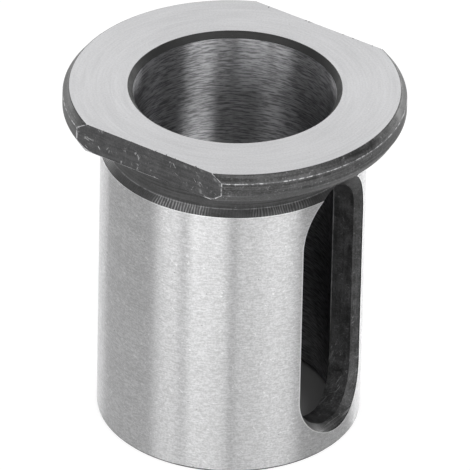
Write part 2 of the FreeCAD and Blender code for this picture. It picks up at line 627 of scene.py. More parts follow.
@dataclass(frozen=True)
class Scratches:
    """Thin scratches in one direction, broken into short lengths.

    Args:
        sheet: The two coordinates that they are laid out in.
        turn: Their direction, in degrees from the first coordinate.
        count: How many there are to the millimetre, across them.
        length: How long they are.
        rare: How few of them there are, from 0 to 1.
        strength: How bright they are, from 0 to 1.
        below: The heights where they start to show and show fully, if only part has them.
    """

    sheet: Sheet
    turn: float
    count: float
    length: float
    rare: float
    strength: float = 0.5
    below: Optional[tuple[float, float]] = None

    def marks(self, graph: Graph, point: Point, seed: float) -> bpy.types.NodeSocket:
        """Return how bright the scratches are.

        Args:
            graph: The material's nodes.
            point: A surface point.
            seed: Any number, which sets where the scratches fall.

        Returns:
            A share from 0 to 1.
        """
        across, up = graph.laid_out(point, self.sheet)
        cosine, sine = math.cos(math.radians(self.turn)), math.sin(math.radians(self.turn))
        along = graph.total(graph.math("MULTIPLY", across, cosine),
                            graph.math("MULTIPLY", up, sine))
        aside = graph.total(graph.math("MULTIPLY", across, -sine),
                            graph.math("MULTIPLY", up, cosine))
        # A lane runs along each line where the drawn-out noise passes its middle value.
        lanes = graph.noise(graph.vector(graph.math("MULTIPLY", along, 0.35 / self.length),
                                         graph.math("MULTIPLY", aside, self.count), seed), 2.0)
        thin = graph.fade(graph.math("ABSOLUTE", graph.math("SUBTRACT", lanes, 0.5)),
                          0.022, 0.006)
        # Broader noise shows a lane for a short length only.
        spread = 1 / self.length
        where = graph.noise(graph.vector(graph.math("MULTIPLY", along, spread),
                                         graph.math("MULTIPLY", aside, spread), seed + 4.0), 2.0)
        start = 0.42 + 0.2 * self.rare
        shown = graph.math("MULTIPLY", thin, graph.fade(where, start, start + 0.08, 0.0,
                                                        self.strength))
        if self.below is None:
            return shown
        return graph.math("MULTIPLY", shown, graph.fade(point.z, *self.below))


@dataclass(frozen=True)
class Swirl:
    """A faint arc on a flat, where the milling cutter's end has turned.

    Args:
        x: Its middle, along the flat.
        z: Its middle's height.
        radius: Its radius.
        strength: How much paler it is, from 0 to 1.
    """

    x: float
    z: float
    radius: float
    strength: float = 0.22

    def marks(self, graph: Graph, point: Point, seed: float) -> bpy.types.NodeSocket:
        """Work out how pale the arc is, broken up by noise.

        Args:
            graph: The material's nodes.
            point: A surface point.
            seed: Any number, which sets where the arc is broken.

        Returns:
            A share from 0 to 1.
        """
        reach = graph.length(graph.math("SUBTRACT", point.x, self.x),
                             graph.math("SUBTRACT", point.z, self.z))
        off = graph.math("ABSOLUTE", graph.math("SUBTRACT", reach, self.radius))
        broken = graph.noise(graph.vector(graph.math("MULTIPLY", point.x, 1.4),
                                          graph.math("MULTIPLY", point.z, 1.4), seed), 3.0, 0.6)
        return graph.math("MULTIPLY", graph.fade(off, 0.30, 0.0),
                          graph.fade(broken, 0.50, 0.64, 0.0, self.strength))


@dataclass(frozen=True)
class Chatter:
    """Upright ridges that a chattering tool leaves round a run-out.

    Args:
        count: How many there are round the sleeve.
        foot: The height where they start.
        top: The height where they end.
        arcs: Where they are strong: from and to, in degrees from +X, and how strong.
        faint: How strong they are elsewhere.
    """

    count: int
    foot: float
    top: float
    arcs: tuple[tuple[float, float, float], ...] = (
        (-92.0, -67.0, 1.0), (-47.0, -20.0, 0.40), (12.0, 41.0, 0.6), (78.0, 128.0, 0.8),
        (150.0, 170.0, 0.5), (-165.0, -128.0, 0.7))
    faint: float = 0.06

    def ridges(self, graph: Graph, point: Point) -> bpy.types.NodeSocket:
        """Work out how high a point is on the ridges.

        Args:
            graph: The material's nodes.
            point: A surface point.

        Returns:
            The height, from 0 to 1.
        """
        angle = graph.math("ARCTAN2", point.y, point.x)
        degrees = graph.math("MULTIPLY", angle, 180 / math.pi)
        place = (point.x, point.y, point.z)
        drift = graph.noise(graph.stretched(place, (0.3, 0.3, 0.3)), 2.0)
        uneven = graph.noise(graph.stretched(place, (2.2, 2.2, 0.8)), 2.0, 0.6)
        # The ridges drift, so that they aren't spaced as evenly as gear teeth.
        phase = graph.total(graph.math("MULTIPLY", angle, float(self.count)),
                            graph.math("MULTIPLY", drift, 30.0))
        wave = graph.math("MULTIPLY", graph.math("ADD", graph.math("SINE", phase), 1.0), 0.5)
        wave = graph.math("POWER", wave, 1.8)
        # They are strong where the tool has dug in, and faint between.
        strong: Number = self.faint
        for start, end, strength in self.arcs:
            arc = graph.math("MULTIPLY", graph.fade(degrees, start - 2, start + 2),
                             graph.fade(degrees, end + 4, end - 4, 0.0, strength))
            strong = graph.math("MAXIMUM", strong, arc)
        level = graph.math("MULTIPLY", graph.fade(point.z, self.foot - 0.05, self.foot + 0.05),
                           graph.fade(point.z, self.top + 0.2, self.top - 0.03))
        shown = graph.math("MULTIPLY", graph.math("MULTIPLY", wave, strong), level)
        return graph.math("MULTIPLY", shown, graph.fade(uneven, 0.30, 0.62, 0.25, 1.0))


@dataclass(frozen=True)
class GroundSteel:
    """Bright steel as a grinding wheel or a fine turning tool leaves it.

    Args:
        name: The material's name.
        lay: The way its marks run.
        colour: The steel's colour.
        contrast: How much lighter and darker the marks are than the steel between them.
        roughness: How far its gloss spreads.
        gloss_spread: How much wider the gloss is across the marks than along them.
        marks: Marks to the millimetre, along the lay and across it.
        mark_depth: How deep the marks are.
        grains: Grains to the millimetre.
        grain_share: How much of the tone and relief is grain, from 0 to 1.
        cloud: How much the steel darkens in broad bands, from 0 to 1.
        pits: How large the small pits and dents are.
        painted_highlight_edges: The edges with a painted highlight along them.
        scratches: The scratches across it.
        chipped_at: Where a milled edge has chipped it, as a distance from the axis along Y.
    """

    name: str
    lay: Lay
    colour: Colour = (0.585, 0.585, 0.59)
    contrast: float = 0.18
    roughness: float = 0.40
    gloss_spread: float = 1.0
    marks: tuple[float, float] = (1.6, 8.0)
    mark_depth: float = 0.0010
    grains: float = 5.6
    grain_share: float = 0.52
    cloud: float = 0.05
    pits: float = 0.075
    painted_highlight_edges: tuple[EdgeWearAndGlint, ...] = ()
    scratches: tuple[Scratches, ...] = ()
    chipped_at: Optional[float] = None

    def make(self) -> bpy.types.Material:
        """Build the material.

        Returns:
            The material.
        """
        graph = Graph(self.name)
        point = graph.point()
        x, y, z = point.x, point.y, point.z
        along, across = self.marks
        if self.lay is Lay.ROUND_THE_SIDE:
            course = graph.stretched((x, y, z), (along, along, across))
            broad = graph.stretched((x, y, z), (0.12, 0.12, 1.1))
        else:
            turn = (graph.math("DIVIDE", x, point.radius), graph.math("DIVIDE", y, point.radius),
                    point.radius)
            course = graph.stretched(turn, (12 * along, 12 * along, across))
            broad = graph.stretched(turn, (1.5, 1.5, 1.1))
        fine = graph.noise(course, 2.0, 0.6)
        band = graph.noise(broad, 3.0, 0.6)
        grain = graph.noise(graph.stretched((x, y, z), (self.grains,) * 3), 2.0, 0.7)
        tone = graph.total(graph.math("MULTIPLY", fine, 1 - self.grain_share),
                           graph.math("MULTIPLY", grain, self.grain_share))
        dark = tuple(c * (1 - self.contrast) for c in self.colour)
        light = tuple(min(0.97, c * (1 + self.contrast)) for c in self.colour)
        metal = graph.blend(graph.fade(tone, 0.36, 0.64), dark, light)
        metal = graph.blend(graph.fade(band, 0.35, 0.65, 0.0, self.cloud * 2), metal, dark)
        pit, dent_glint = self.spots(graph, point)
        metal = graph.blend(pit, metal, tuple(c * 0.35 for c in self.colour))
        # Painted highlights: the dents' glints and the lines along the edges are painted
        # near-white, and so are the scratches.
        bright: Number = dent_glint
        for index, scratch in enumerate(self.scratches):
            bright = graph.math("MAXIMUM", bright, scratch.marks(graph, point, 2.3 * index))
        for wear in self.painted_highlight_edges:
            bright = graph.math("MAXIMUM", bright, wear.line(graph, point, grain))
        metal = graph.blend(bright, metal, GLINT_AND_SCRATCH_WHITE)
        if self.chipped_at is not None:
            metal = graph.blend(self.chips(graph, point), metal, CHIP_BLACK)
        graph.put(graph.shader.inputs["Base Color"], metal)
        graph.put(graph.shader.inputs["Metallic"], 1.0)
        graph.put(graph.shader.inputs["Roughness"],
                  graph.fade(band, 0.3, 0.7, self.roughness - 0.02, self.roughness + 0.02))
        relief = graph.total(graph.math("MULTIPLY", fine, 1.2 * (1 - self.grain_share)),
                             graph.math("MULTIPLY", grain, 0.6 * self.grain_share),
                             graph.math("MULTIPLY", pit, -0.6))
        graph.put(graph.shader.inputs["Normal"], graph.bump(relief, self.mark_depth))
        graph.lengthwise_gloss(self.gloss_spread)
        return graph.material

    def spots(self, graph: Graph,
              point: Point) -> tuple[bpy.types.NodeSocket, bpy.types.NodeSocket]:
        """Scatter a few small pits, and dents with a painted glint.

        Args:
            graph: The material's nodes.
            point: A surface point.

        Returns:
            How dark a point is with pits and how bright with the dents' painted glints, each from
            0 to 1.
        """
        place = (point.x, point.y, point.z)
        near = graph.spots(graph.stretched(place, (1.0, 1.0, 1.0)))
        other = graph.spots(graph.stretched(place, (0.8, 0.8, 0.9)))
        where = graph.noise(graph.stretched(place, (0.45, 0.45, 0.45)), 2.0)
        pit = graph.math("MULTIPLY", graph.fade(near, self.pits, self.pits * 0.4),
                         graph.fade(where, 0.48, 0.56))
        dent_glint = graph.math("MULTIPLY", graph.fade(other, self.pits, self.pits * 0.4),
                          graph.fade(where, 0.50, 0.42, 0.0, 0.7))
        return pit, dent_glint

    def chips(self, graph: Graph, point: Point) -> bpy.types.NodeSocket:
        """Chip the face along a milled edge, where the chips show black.

        Args:
            graph: The material's nodes.
            point: A surface point.

        Returns:
            How chipped it is, from 0 to 1.
        """
        inside = graph.math("SUBTRACT", self.chipped_at, graph.math("ABSOLUTE", point.y))
        ragged = graph.noise(graph.stretched((point.x, point.y, point.z), (1.5, 0.4, 0.4)), 4.0,
                             0.75)
        reach = graph.fade(ragged, 0.52, 0.76, 0.0, 0.45)
        return graph.fade(graph.math("SUBTRACT", inside, reach), 0.02, -0.02)


@dataclass(frozen=True)
class BlackOxide:
    """Steel with a thin black finish over turned or milled marks, rubbed bright in places.

    Args:
        name: The material's name.
        lay: The way its marks run.
        colour: The black at its darkest.
        pale: The black at its palest.
        bare: The steel where it shows through.
        roughness: How far its gloss spreads.
        marks: Marks to the millimetre, across the lay.
        mark_share: How much of the tone the marks make, from 0 to 1.
        mark_depth: How deep the marks are.
        rub: How much of the surface has pale rubbed grains, from 0 to 1.
        nicks: How large the small bright nicks are.
        wear: The lines worn along its edges.
        marring: The scratches and swirls on it.
        chatter: The ridges on it.
        dark_outside: The distance from the axis past which it is darkest.
    """

    name: str
    lay: Lay = Lay.TURNED
    colour: Colour = (0.017, 0.017, 0.018)
    pale: Colour = (0.056, 0.056, 0.057)
    bare: Colour = (0.60, 0.60, 0.61)
    roughness: float = 0.40
    marks: float = 4.5
    mark_share: float = 0.35
    mark_depth: float = 0.004
    rub: float = 0.25
    nicks: float = 0.06
    wear: tuple[EdgeWearAndGlint, ...] = ()
    marring: tuple[Union[Scratches, Swirl], ...] = ()
    chatter: Optional[Chatter] = None
    dark_outside: Optional[float] = None

    def make(self) -> bpy.types.Material:
        """Build the material.

        Returns:
            The material.
        """
        graph = Graph(self.name)
        point = graph.point()
        place = (point.x, point.y, point.z)
        mottle = graph.noise(graph.stretched(place, (0.8, 0.8, 0.8)), 4.0, 0.65)
        grain = graph.noise(graph.stretched(place, (5.5, 5.5, 5.5)), 2.0, 0.7)
        patches = graph.noise(graph.stretched(place, (1.6, 1.6, 1.6)), 4.0, 0.7)
        lines = self.lay_marks(graph, point)
        rest = (1 - self.mark_share) / 2
        tone = graph.total(graph.math("MULTIPLY", mottle, rest),
                           graph.math("MULTIPLY", lines, self.mark_share),
                           graph.math("MULTIPLY", grain, rest))
        black = graph.blend(graph.fade(tone, 0.40, 0.62), self.colour, self.pale)
        rubbed = graph.fade(graph.total(grain, graph.math("MULTIPLY", patches, 0.8)),
                            1.14 - 0.3 * self.rub, 1.32 - 0.3 * self.rub, 0.0, 0.5)
        black = graph.blend(rubbed, black, RUBBED_GREY)
        relief = graph.total(graph.math("MULTIPLY", lines, 0.7),
                             graph.math("MULTIPLY", grain, 0.5))
        if self.chatter is not None:
            ridges = self.chatter.ridges(graph, point)
            black = graph.blend(ridges, black, RIDGE_GREY)
            relief = graph.total(relief, graph.math("MULTIPLY", ridges, 2.0))
        if self.dark_outside is not None:
            outline = graph.fade(point.radius, self.dark_outside - 0.03, self.dark_outside + 0.02)
            black = graph.blend(outline, black, EDGE_BLACK)
        worn = self.worn(graph, point, patches)
        graph.put(graph.shader.inputs["Base Color"], graph.blend(worn, black, self.bare))
        graph.put(graph.shader.inputs["Metallic"], worn)
        graph.put(graph.shader.inputs["Roughness"],
                  graph.fade(mottle, 0.35, 0.65, self.roughness - 0.06, self.roughness + 0.08))
        graph.put(graph.shader.inputs["Normal"], graph.bump(relief, self.mark_depth))
        return graph.material

    def lay_marks(self, graph: Graph, point: Point) -> bpy.types.NodeSocket:
        """Lay the tool's marks over the surface.

        Args:
            graph: The material's nodes.
            point: A surface point.

        Returns:
            The marks' height, from 0 to 1.
        """
        if self.lay is Lay.ALONG_THE_SLOT:
            course = graph.stretched((point.x, point.y, point.z), (self.marks, self.marks, 0.25))
        elif self.lay is Lay.ALONG_THE_FLAT:
            course = graph.stretched((point.x, point.y, point.z), (0.25, 0.25, self.marks))
        else:
            # Height and radius together step from one mark to the next on sides and faces.
            step = graph.total(point.z, graph.math("MULTIPLY", point.radius, 0.93))
            course = graph.stretched((point.x, point.y, step), (0.09, 0.09, self.marks))
        return graph.noise(course, 3.0, 0.65, 0.3)

    def worn(self, graph: Graph, point: Point, patches: Number) -> Number:
        """Return how bare the steel is, from 0 to 1.

        Args:
            graph: The material's nodes.
            point: A surface point.
            patches: The noise that breaks the wear up.

        Returns:
            The share of bare steel.
        """
        near = graph.spots(graph.stretched((point.x, point.y, point.z), (0.85, 0.85, 0.85)))
        worn: Number = graph.math("MULTIPLY", graph.fade(near, self.nicks, self.nicks * 0.3),
                                  graph.fade(patches, 0.42, 0.56, 0.12, 0.7))
        for wear in self.wear:
            worn = graph.math("MAXIMUM", worn, wear.line(graph, point, patches))
        for index, mark in enumerate(self.marring):
            worn = graph.math("MAXIMUM", worn, mark.marks(graph, point, 3.7 * index))
        return worn


# --------------------------------------------------------------------------------------------
# The sleeve
# --------------------------------------------------------------------------------------------


@dataclass(frozen=True)
class Corner:
    """One corner of the turned profile.

    Args:
        radius: Its distance from the axis.
        height: Its height above the foot.
        soft: How far its rounding reaches along each side.
    """

    radius: float
    height: float
    soft: float


@dataclass
class Sleeve:
    """The whole sleeve, as one closed mesh with one material slot for each of its surfaces.

    Args:
        length: From the foot to the top face.
        shank_radius: The ground shank's radius.
        bore_radius: The bore's radius.
        flange_overhang: How far the flange stands out past the shank.
        flange_thickness: The flange's thickness.
        rim_chamfer_reach: How far the rim's chamfers reach in along its faces.
        rim_upper_rise: The upper chamfer's height.
        rim_lower_rise: The lower chamfer's height.
        flat_depth: How far the flats are cut in from the rim.
        mouth_reach: How far the bore's chamfers reach outwards.
        mouth_depth: How far they reach down the bore.
        foot_chamfer: The chamfer round the foot.
        neck_length: The relief's length under the flange.
        neck_depth: The relief's depth.
        slot_radius: Half of the slot's width.
        slot_low: The height of the middle of the slot's lower end.
        slot_high: The height of the middle of its upper end.
        chamfer_reach: How far the slot's chamfer reaches over the shank.
        chamfer_depth: How far it reaches into the wall.
        bevel: How far the bevel at the slot's upper end reaches past the slot.
        edge_break: How far the sharp edges are broken.
        turned_break: The same for the flange's and the relief's corners.
        face_break: The same round the top face.
        root_fillet: The fillet between the relief and the flange.
        cutter_start: Where the slot's cutter starts, as a share of the bore's radius.
        cone_turn: The turn, in degrees, that keeps the bevel's facets off the slot's own.
        segments: How many facets go round the sleeve.
        slot_segments: How many go round the slot's two ends.
        name: The piece's name.
    """

    length: float
    shank_radius: float
    bore_radius: float
    flange_overhang: float = 3.6
    flange_thickness: float = 2.9
    rim_chamfer_reach: float = 0.55
    rim_upper_rise: float = 0.7
    rim_lower_rise: float = 0.9
    flat_depth: float = 2.3
    mouth_reach: float = 0.48
    mouth_depth: float = 0.57
    foot_chamfer: float = 0.25
    neck_length: float = 3.15
    neck_depth: float = 0.6
    slot_radius: float = 4.35
    slot_low: float = 6.75
    slot_high: float = 23.5
    chamfer_reach: float = 0.57
    chamfer_depth: float = 0.92
    bevel: float = 1.5
    edge_break: float = 0.05
    turned_break: float = 0.08
    face_break: float = 0.06
    root_fillet: float = 0.15
    cutter_start: float = 0.6
    cone_turn: float = 0.7
    segments: int = 320
    slot_segments: int = 96
    name: str = "sleeve_body"

    @property
    def rim_radius(self) -> float:
        """The flange's radius."""
        return self.shank_radius + self.flange_overhang

    @property
    def underside(self) -> float:
        """The height of the flange's lower face."""
        return self.length - self.flange_thickness

    @property
    def flat_place(self) -> float:
        """How far the two flats are from the axis."""
        return self.rim_radius - self.flat_depth

    @property
    def runout(self) -> float:
        """The height where the relief's floor ends."""
        return self.underside - self.neck_length

    @property
    def shoulder(self) -> float:
        """The height where the relief's lower slope meets the shank."""
        return self.runout - self.neck_depth

    @property
    def mouth_radius(self) -> float:
        """The radius where the bore's chamfers meet the end faces."""
        return self.bore_radius + self.mouth_reach

    @property
    def face_radius(self) -> float:
        """The radius where the rim's chamfers meet the flange's faces."""
        return self.rim_radius - self.rim_chamfer_reach

    @property
    def neck_radius(self) -> float:
        """The relief's radius."""
        return self.shank_radius - self.neck_depth

    def corners(self) -> list[Corner]:
        """List the turned profile's corners.

        Returns:
            The corners, up the outside and down the bore.
        """
        edge, turned = self.edge_break, self.turned_break
        return [
            Corner(self.bore_radius, self.mouth_depth, edge),
            Corner(self.mouth_radius, 0.0, edge),
            Corner(self.shank_radius - self.foot_chamfer, 0.0, edge),
            Corner(self.shank_radius, self.foot_chamfer, edge),
            Corner(self.shank_radius, self.shoulder, edge),
            Corner(self.neck_radius, self.runout, turned),
            Corner(self.neck_radius, self.underside, self.root_fillet),
            Corner(self.face_radius, self.underside, turned),
            Corner(self.rim_radius, self.underside + self.rim_lower_rise, turned),
            Corner(self.rim_radius, self.length - self.rim_upper_rise, turned),
            Corner(self.face_radius, self.length, self.face_break),
            Corner(self.mouth_radius, self.length, edge),
            Corner(self.bore_radius, self.length - self.mouth_depth, edge),
        ]

    def turn_blank(self) -> BMesh:
        """Turn the blank: round the profile's corners and spin it about the axis.

        Returns:
            A closed mesh in millimetres.
        """
        bm = bmesh.new()
        corners = self.corners()
        verts = [bm.verts.new((corner.radius, 0.0, corner.height)) for corner in corners]
        for index, vert in enumerate(verts):
            bm.edges.new((vert, verts[(index + 1) % len(verts)]))
        for soft in sorted({corner.soft for corner in corners}):
            group = [v for v, c in zip(verts, corners) if c.soft == soft]
            bmesh.ops.bevel(bm, geom=group, offset=soft, offset_type="OFFSET", segments=2,
                            profile=0.5, affect="VERTICES", material=-1)
        bmesh.ops.spin(bm, geom=bm.verts[:] + bm.edges[:], cent=(0, 0, 0), axis=(0, 0, 1),
                       angle=math.tau, steps=self.segments, use_merge=True)
        bmesh.ops.remove_doubles(bm, verts=bm.verts[:], dist=SEAM_WELD)
        bmesh.ops.recalc_face_normals(bm, faces=bm.faces[:])
        for face in bm.faces:
            face.material_index = self.turned_region(face.calc_center_median())
        return bm

    def turned_region(self, centre: Vector) -> Region:
        """Say which surface a face of the turned blank belongs to.

        Args:
            centre: The face's middle.

        Returns:
            The surface.
        """
        radius = math.hypot(centre.x, centre.y)
        # Each margin past an edge takes in the facets of that edge's rounding.
        foot_edge_top = self.foot_chamfer + 0.04
        neck_foot, neck_top = self.shoulder - 0.1, self.underside + 0.05
        if radius < self.bore_radius + NEAR:
            return Region.BORE
        if centre.z > self.length - SAME:
            return Region.TOP_FACE
        if centre.z < SAME:
            return Region.FOOT_FACE
        if centre.z < foot_edge_top and radius > self.mouth_radius:
            return Region.FOOT_EDGE
        if radius > self.shank_radius - NEAR and centre.z < self.shoulder:
            return Region.SHANK
        if radius < self.shank_radius and neck_foot < centre.z < neck_top:
            return Region.NECK
        if radius < self.mouth_radius:
            return Region.MOUTH
        return Region.FLANGE

    def mill_flats(self, bm: BMesh) -> None:
        """Cut the two flats on the flange, with a hair of a bevel along each long edge.

        Args:
            bm: The turned blank.
        """
        soft = self.edge_break
        cuts = []
        for side in (-1, 1):
            cuts.append((Vector((0, side * self.flat_place, 0)), Vector((0, side, 0))))
            cuts.append((Vector((0, side * (self.flat_place - soft), self.length)),
                         Vector((0, side, 1))))
            cuts.append((Vector((0, side * (self.flat_place - soft), self.underside)),
                         Vector((0, side, -1))))
        for place, direction in cuts:
            flange = [f for f in bm.faces if f.calc_center_median().z > self.underside - SAME]
            edges = list(dict.fromkeys(e for f in flange for e in f.edges))
            verts = list(dict.fromkeys(v for f in flange for v in f.verts))
            cut = bmesh.ops.bisect_plane(bm, geom=verts + edges + flange, plane_co=place,
                                         plane_no=direction, clear_outer=True,
                                         dist=PLANE_TOLERANCE)
            rim = [e for e in cut["geom_cut"] if isinstance(e, BMEdge) and e.is_boundary]
            bmesh.ops.edgeloop_fill(bm, edges=rim, mat_nr=int(Region.FLAT))
        bmesh.ops.recalc_face_normals(bm, faces=bm.faces[:])

    def lay_on_shank(self, verts: Iterable[BMVert], depth: float) -> None:
        """Move points along the slot's direction until they lie under the shank's surface.

        Args:
            verts: The points.
            depth: How far below the surface they end, measured along the slot.
        """
        for vert in verts:
            vert.co.x = math.sqrt(self.shank_radius ** 2 - vert.co.y ** 2) - depth

    def slot_cutter(self) -> BMesh:
        """Shape what the slot takes away, with its chamfer, from inside the bore outwards.

        The facets of its round ends touch the true circle from outside.

        Returns:
            A closed mesh in millimetres.
        """
        bm = bmesh.new()
        half_step = math.pi / self.slot_segments
        turn = Matrix.Rotation(half_step, 4, "X") @ Matrix.Rotation(math.radians(90), 4, "Y")
        ring = bmesh.ops.create_circle(bm, radius=self.slot_radius / math.cos(half_step),
                                       segments=self.slot_segments, matrix=turn)["verts"]
        start = self.bore_radius * self.cutter_start
        bmesh.ops.translate(bm, verts=ring, vec=(start, 0, self.slot_low))
        upper = [v for v in ring if v.co.z > self.slot_low]
        bmesh.ops.translate(bm, verts=upper, vec=(0, 0, self.slot_high - self.slot_low))
        bmesh.ops.edgeloop_fill(bm, edges=bm.edges[:])
        loop = [e for e in bm.edges if e.is_boundary]
        loop = self.extrude(bm, loop)
        self.lay_on_shank(self.points(loop), self.chamfer_depth)
        loop = self.extrude(bm, loop)
        self.spread(self.points(loop), self.chamfer_reach)
        self.lay_on_shank(self.points(loop), 0.0)
        loop = self.extrude(bm, loop)
        self.spread(self.points(loop), self.chamfer_reach)
        bmesh.ops.translate(bm, verts=self.points(loop), vec=(self.chamfer_depth, 0, 0))
        bmesh.ops.edgeloop_fill(bm, edges=loop)
        return self.finished_cutter(bm)

    def spread(self, verts: Iterable[BMVert], reach: float) -> None:
        """Move a ring of the slot's points outwards over the shank.

        Args:
            verts: The ring's points.
            reach: How far they go, measured over the shank's surface.
        """
        for vert in verts:
            end = max(self.slot_low, min(self.slot_high, vert.co.z))
            outwards = Vector((vert.co.y, vert.co.z - end)).normalized()
            lean = math.sqrt(1 - (vert.co.y / self.shank_radius) ** 2)
            vert.co.y += outwards.x * reach * lean
            vert.co.z += outwards.y * reach

    @staticmethod
    def extrude(bm: BMesh, edges: list[BMEdge]) -> list[BMEdge]:
        """Extrude a loop of edges without moving it.

        Args:
            bm: The mesh that has the loop.
            edges: The loop.

        Returns:
            The new loop, which still lies on the old one.
        """
        grown = bmesh.ops.extrude_edge_only(bm, edges=edges)["geom"]
        return [e for e in grown if isinstance(e, BMEdge) and e.is_boundary]

    @staticmethod
    def points(edges: Iterable[BMEdge]) -> list[BMVert]:
        """List the points of some edges, each once."""
        return list({vert: None for edge in edges for vert in edge.verts})

    @staticmethod
    def finished_cutter(bm: BMesh) -> BMesh:
        """Turn a cutter's faces outwards and mark what it cuts as the slot's surface.

        Args:
            bm: The cutter.

        Returns:
            The same cutter.
        """
        bmesh.ops.recalc_face_normals(bm, faces=bm.faces[:])
        for face in bm.faces:
            face.material_index = Region.SLOT
        return bm

    def bevel_cutter(self) -> BMesh:
        """Shape the cone that bevels the slot's upper end.

        Returns:
            A closed mesh in millimetres.
        """
        bm = bmesh.new()
        start = self.shank_radius - 2 * self.bevel
        end = self.shank_radius + self.chamfer_reach
        small = self.slot_radius - self.bevel
        large = small + end - start
        turn = (Matrix.Translation(((start + end) / 2, 0, self.slot_high))
                @ Matrix.Rotation(math.radians(90), 4, "Y")
                @ Matrix.Rotation(math.radians(self.cone_turn), 4, "Z"))
        bmesh.ops.create_cone(bm, cap_ends=True, segments=self.slot_segments, radius1=small,
                              radius2=large, depth=end - start, matrix=turn)
        return self.finished_cutter(bm)

    def build(self, finishes: dict[Region, bpy.types.Material]) -> bpy.types.Object:
        """Make the sleeve.

        Args:
            finishes: The material of each surface.

        Returns:
            The finished piece, in metres.
        """
        blank = self.turn_blank()
        self.mill_flats(blank)
        body = self.to_object(blank, "blank", finishes)
        for label, cutter in (("slot", self.slot_cutter()), ("bevel", self.bevel_cutter())):
            tool = self.to_object(cutter, label, finishes)
            body = self.cut(body, tool)
            LOG.info("%s cut: %d faces", label, len(body.data.polygons))
        bm = bmesh.new()
        bm.from_mesh(body.data)
        bmesh.ops.remove_doubles(bm, verts=bm.verts[:], dist=CUT_WELD)
        bmesh.ops.dissolve_degenerate(bm, dist=SHORTEST_EDGE, edges=bm.edges[:])
        bmesh.ops.scale(bm, vec=(MM, MM, MM), verts=bm.verts[:])
        bm.to_mesh(body.data)
        bm.free()
        body.name = self.name
        body.data.name = self.name
        body.data.shade_smooth()
        body.data.set_sharp_from_angle(angle=math.radians(CRISP_FROM))
        return body

    @staticmethod
    def to_object(bm: BMesh, name: str,
                  finishes: dict[Region, bpy.types.Material]) -> bpy.types.Object:
        """Put a mesh into the scene as an object with every one of the sleeve's materials.

        Args:
            bm: The mesh, which is freed.
            name: The object's name.
            finishes: The material of each surface.

        Returns:
            The object.
        """
        mesh = bpy.data.meshes.new(name)
        bm.to_mesh(mesh)
        bm.free()
        for region in Region:
            mesh.materials.append(finishes[region])
        piece = bpy.data.objects.new(name, mesh)
        bpy.context.scene.collection.objects.link(piece)
        return piece

    @staticmethod
    def cut(body: bpy.types.Object, tool: bpy.types.Object) -> bpy.types.Object:
        """Take one closed piece away from another.

        Args:
            body: What is cut.
            tool: What is taken away. It is removed afterwards.

        Returns:
            The body, with its new mesh.
        """
        modifier = body.modifiers.new("cut", "BOOLEAN")
        modifier.operation = "DIFFERENCE"
        modifier.solver = "EXACT"
        modifier.object = tool
        bpy.context.view_layer.update()
        graph = bpy.context.evaluated_depsgraph_get()
        mesh = bpy.data.meshes.new_from_object(body.evaluated_get(graph))
        body.modifiers.clear()
        body.data = mesh
        bpy.data.objects.remove(tool)
        return body


# --------------------------------------------------------------------------------------------
# The studio
# --------------------------------------------------------------------------------------------


@dataclass
class StudioCamera:
    """A long lens far away, above the sleeve and to the right of its front flat.

    Args:
        azimuth: Its direction, from -Y towards +X, in degrees.
        elevation: How far it is above the horizon, in degrees.
        roll: How far it leans, in degrees.
        distance: How far it is from its aim, in metres.
        aim: The point it looks at, in metres.
        lens: Its focal length, in millimetres, for the sensor's width.
        sensor: The sensor's width, in millimetres.
        clip: The nearest and the farthest that it sees, in metres.
    """

    azimuth: float = 34.5
    elevation: float = 32.38
    roll: float = 1.244
    distance: float = 1.0377
    aim: tuple[float, float, float] = (0.000245, 0.000168, 0.018588)
    lens: float = 844.7
    sensor: float = 36.0
    clip: tuple[float, float] = (0.01, 20.0)

    def build(self) -> bpy.types.Object:
        """Make the camera and give it to the scene.

        Returns:
            The camera.
        """
        azimuth, elevation, roll = map(math.radians, (self.azimuth, self.elevation, self.roll))
        away = Vector((math.sin(azimuth) * math.cos(elevation),
                       -math.cos(azimuth) * math.cos(elevation), math.sin(elevation)))
        right = Vector((math.cos(azimuth), math.sin(azimuth), 0.0))
        up = away.cross(right)
        turned = right * math.cos(roll) + up * math.sin(roll)
        upright = up * math.cos(roll) - right * math.sin(roll)
        data = bpy.data.cameras.new("studio_camera")
        data.lens = self.lens
        data.sensor_width = self.sensor
        data.clip_start, data.clip_end = self.clip
        camera = bpy.data.objects.new("studio_camera", data)
        frame = Matrix((turned, upright, away)).transposed().to_4x4()
        frame.translation = Vector(self.aim) + away * self.distance
        camera.matrix_world = frame
        bpy.context.scene.collection.objects.link(camera)
        bpy.context.scene.camera = camera
        return camera


@dataclass(frozen=True)
class LightWall:
    """One upright lamp that stands on the floor and faces the sleeve.

    Args:
        name: The lamp's name.
        start: The direction of its left side, in degrees from the camera's, positive to the right.
        end: The direction of its right side.
        foot: How high its lower side is, in metres.
        top: How high its upper side is.
        radiance: How bright its face is, where 1 is white.
        distance: How far it is from the sleeve, in metres.
    """

    name: str
    start: float
    end: float
    foot: float
    top: float
    radiance: float
    distance: float = 0.9

    def build(self, camera_azimuth: float) -> bpy.types.Object:
        """Make the lamp.

        Args:
            camera_azimuth: The camera's direction, from -Y towards +X, in degrees.

        Returns:
            The lamp.
        """
        middle = math.radians(camera_azimuth + (self.start + self.end) / 2)
        half = math.radians((self.end - self.start) / 2)
        away = Vector((math.sin(middle), -math.cos(middle), 0.0))
        data = bpy.data.lights.new(self.name, "AREA")
        data.shape = "RECTANGLE"
        data.size = 2 * self.distance * math.tan(half)
        data.size_y = self.top - self.foot
        data.energy = self.radiance * math.pi * data.size * data.size_y
        lamp = bpy.data.objects.new(self.name, data)
        lamp.location = away * self.distance + Vector((0, 0, (self.foot + self.top) / 2))
        lamp.rotation_euler = away.to_track_quat("Z", "Y").to_euler()
        bpy.context.scene.collection.objects.link(lamp)
        return lamp


